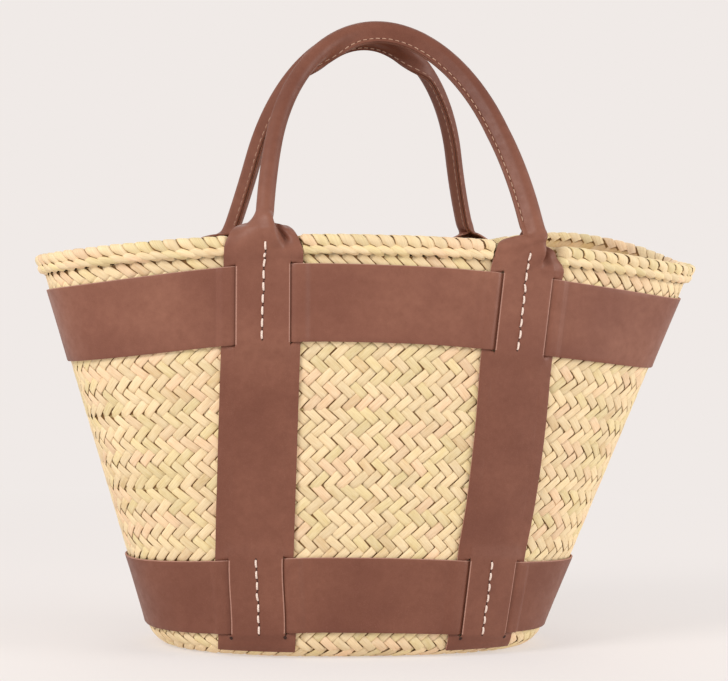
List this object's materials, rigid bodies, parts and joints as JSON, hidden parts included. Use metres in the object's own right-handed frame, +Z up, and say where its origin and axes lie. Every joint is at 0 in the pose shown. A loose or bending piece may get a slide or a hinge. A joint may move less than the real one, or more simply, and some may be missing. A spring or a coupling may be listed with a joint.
{
  "type": "straw tote bag",
  "caption": "Oval plaited palm-leaf tote with a braided rim, leather bands threaded through slit upright straps, cream stitching and rolled leather handles that fold outwards.",
  "frame": {"origin": "on the ground under the middle of the mouth, which is the middle of the bag's bounding box", "axes": "+X along the mouth, towards the right end in the picture; +Y from the front face to the back face; +Z up"},
  "size_m": [0.5448, 0.2146, 0.506],
  "materials": {
    "palm_leaf": "plaited, matt",
    "palm_twine": "twisted, matt",
    "brown_leather": "satin",
    "cream_thread": "waxed thread",
    "rope": "twisted, matt"
  },
  "bodies": {
    "basket": {"basket_base": "palm_leaf", "wall_course_1": "palm_leaf", "wall_course_2": "palm_leaf", "wall_course_3": "palm_leaf", "wall_course_4": "palm_leaf", "wall_course_5": "palm_leaf", "seam_twine_1": "palm_twine", "seam_twine_2": "palm_twine", "seam_twine_3": "palm_twine", "seam_twine_4": "palm_twine", "rim_braid": "palm_leaf", "top_band": "brown_leather", "bottom_band": "brown_leather", "front_left_strap": "brown_leather", "front_left_top_stitching": "cream_thread", "front_left_bottom_stitching": "cream_thread", "front_right_strap": "brown_leather", "front_right_top_stitching": "cream_thread", "front_right_bottom_stitching": "cream_thread", "back_left_strap": "brown_leather", "back_left_top_stitching": "cream_thread", "back_left_bottom_stitching": "cream_thread", "back_right_strap": "brown_leather", "back_right_top_stitching": "cream_thread", "back_right_bottom_stitching": "cream_thread"},
    "front_handle": {"front_handle": "brown_leather", "front_handle_core": "rope", "front_handle_seam_thread": "cream_thread"},
    "back_handle": {"back_handle": "brown_leather", "back_handle_core": "rope", "back_handle_seam_thread": "cream_thread"}
  },
  "joints": [
    {"name": "front_handle_fold", "type": "hinge", "parent": "basket", "child": "front_handle", "pos_m": [0, -0.10455, 0.32993], "axis": [1, 0, 0], "range_deg": [0, 120]},
    {"name": "back_handle_fold", "type": "hinge", "parent": "basket", "child": "back_handle", "pos_m": [0, 0.10455, 0.33488], "axis": [-0.999, 0, -0.0439], "range_deg": [0, 120]}
  ]
}
